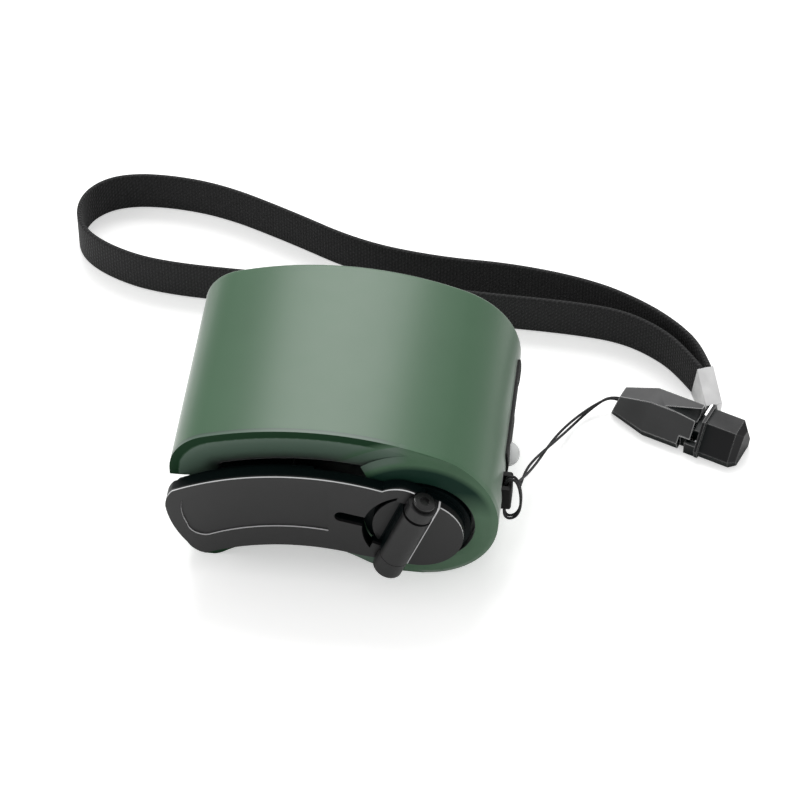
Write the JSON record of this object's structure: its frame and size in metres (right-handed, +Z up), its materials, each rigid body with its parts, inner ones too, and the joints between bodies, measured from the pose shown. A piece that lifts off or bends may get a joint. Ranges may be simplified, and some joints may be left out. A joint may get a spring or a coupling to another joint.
{
  "type": "hand crank phone charger",
  "caption": "Hand crank phone charger: bean-shaped housing, folding crank arm with fold-out grip, gear train and generator, USB port, LED, wrist strap on a release buckle.",
  "frame": {"origin": "on the table, under the middle of the charger's bounding box without its lanyard", "axes": "+X to the charging-port end, -Y out of the crank face, +Z up"},
  "size_m": [0.1566, 0.1133, 0.0403],
  "materials": {
    "shell_green": "satin",
    "arm_charcoal": "satin",
    "black_plastic": "satin",
    "screw_steel": "brushed",
    "bronze_bush": "satin",
    "plate_steel": "brushed",
    "gear_white": "satin",
    "board_green": "satin",
    "clear_lens": "polished",
    "lamp_white": "glossy",
    "socket_metal": "polished",
    "contact_gold": "polished",
    "can_steel": "satin",
    "ferrite": "matt",
    "rotor_iron": "satin",
    "capacitor_blue": "glossy",
    "chip_black": "matt",
    "buckle_grey": "satin",
    "crimp_steel": "satin",
    "strap_fabric": "woven",
    "string_fabric": "braided",
    "pin_steel": "polished"
  },
  "bodies": {
    "housing": {"housing_shell": "shell_green", "front_cover": "shell_green", "back_cover": "shell_green", "cover_screws": "screw_steel", "port_plate": "black_plastic", "usb_shell": "socket_metal", "usb_tongue": "black_plastic", "usb_contacts": "contact_gold", "circuit_board": "board_green", "smoothing_capacitor": "capacitor_blue", "rectifier_diodes": "chip_black", "regulator_chip": "chip_black", "led_lens": "clear_lens", "led_lamp": "lamp_white", "led_board": "board_green", "lanyard_eye": "black_plastic", "front_bush": "bronze_bush", "rear_bush": "bronze_bush", "front_gear_plate": "plate_steel", "rear_gear_plate": "plate_steel", "gear_pillars": "screw_steel", "plate_screws": "screw_steel", "idler_axle_a": "pin_steel", "idler_axle_b": "pin_steel", "generator_can": "can_steel", "generator_magnets": "ferrite", "buckle_socket": "buckle_grey", "lanyard_string": "string_fabric", "string_hitch": "string_fabric"},
    "crank": {"crank_hub": "arm_charcoal", "hinge_pin": "pin_steel", "crank_shaft": "pin_steel", "crank_gear": "gear_white"},
    "arm": {"crank_arm": "arm_charcoal", "grip_pivot_pin": "pin_steel"},
    "grip_carrier": {"grip_block": "black_plastic", "grip_axle": "pin_steel"},
    "grip": {"grip_sleeve": "black_plastic"},
    "first_idler": {"idler_gear_a": "gear_white"},
    "second_idler": {"idler_gear_b": "gear_white"},
    "rotor": {"generator_rotor": "rotor_iron", "rotor_shaft": "pin_steel", "rotor_pinion": "gear_white"},
    "strap_end": {"buckle_tongue": "buckle_grey", "strap_crimp": "crimp_steel", "lanyard_strap": "strap_fabric"}
  },
  "joints": [
    {"name": "crank_spin", "type": "hinge", "parent": "housing", "child": "crank", "pos_m": [0.0165, -0.02135, 0.0181], "axis": [0, -1, 0], "continuous": true},
    {"name": "arm_fold", "type": "hinge", "parent": "crank", "child": "arm", "pos_m": [0.01453, -0.02595, 0.01882], "axis": [0.342, 0, 0.9397], "range_deg": [0, 180]},
    {"name": "grip_fold", "type": "hinge", "parent": "arm", "child": "grip_carrier", "pos_m": [-0.0305, -0.0221, 0.0154], "axis": [-0.2487, 0, 0.9686], "range_deg": [0, 90]},
    {"name": "grip_spin", "type": "hinge", "parent": "grip_carrier", "child": "grip", "pos_m": [-0.0305, -0.0221, 0.0154], "axis": [0.9686, 0, 0.2487], "continuous": true},
    {"name": "first_idler_spin", "type": "hinge", "parent": "housing", "child": "first_idler", "pos_m": [0.00235, 0.00465, 0.02325], "axis": [0, -1, 0], "continuous": true},
    {"name": "second_idler_spin", "type": "hinge", "parent": "housing", "child": "second_idler", "pos_m": [-0.00898, 0.00465, 0.01913], "axis": [0, -1, 0], "continuous": true},
    {"name": "rotor_spin", "type": "hinge", "parent": "housing", "child": "rotor", "pos_m": [-0.02045, 0.01265, 0.02285], "axis": [0, -1, 0], "continuous": true},
    {"name": "buckle_release", "type": "slide", "parent": "housing", "child": "strap_end", "axis": [0.9336, -0.3584, 0], "range_m": [0, 0.0085]}
  ],
  "couplings": [
    {"joint": "first_idler_spin", "follows": "crank_spin", "ratio": -4},
    {"joint": "second_idler_spin", "follows": "crank_spin", "ratio": 12},
    {"joint": "rotor_spin", "follows": "crank_spin", "ratio": -36}
  ]
}
